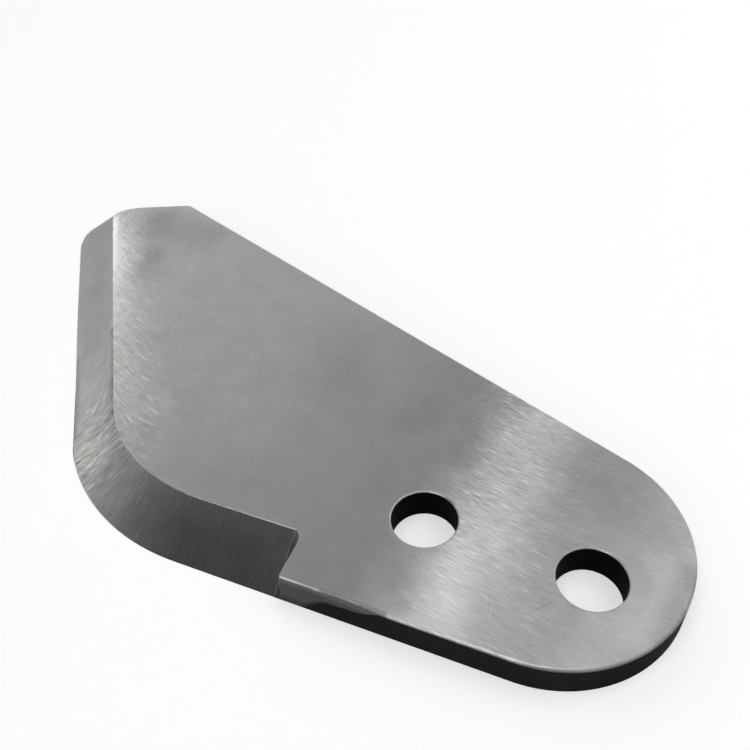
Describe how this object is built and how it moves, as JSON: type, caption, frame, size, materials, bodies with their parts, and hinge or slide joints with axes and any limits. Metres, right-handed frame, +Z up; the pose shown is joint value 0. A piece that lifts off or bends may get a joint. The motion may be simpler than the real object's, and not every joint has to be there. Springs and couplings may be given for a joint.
{
  "type": "meat cutting blade",
  "caption": "Flat steel cutting blade with a rounded bolted end, a long straight spine and one wide ground bevel that runs round the belly and ends at a step.",
  "frame": {"origin": "on the axis of the outer bolt hole, on the flat face that the blade lies on", "axes": "+X along the two bolt holes towards the round end, +Y towards the spine, +Z up out of the bevelled face"},
  "size_m": [0.1552, 0.0853, 0.006],
  "materials": {
    "ground_steel": "satin ground faces, dark unground side walls and holes"
  },
  "bodies": {
    "root": {"blade": "ground_steel"}
  },
  "joints": []
}
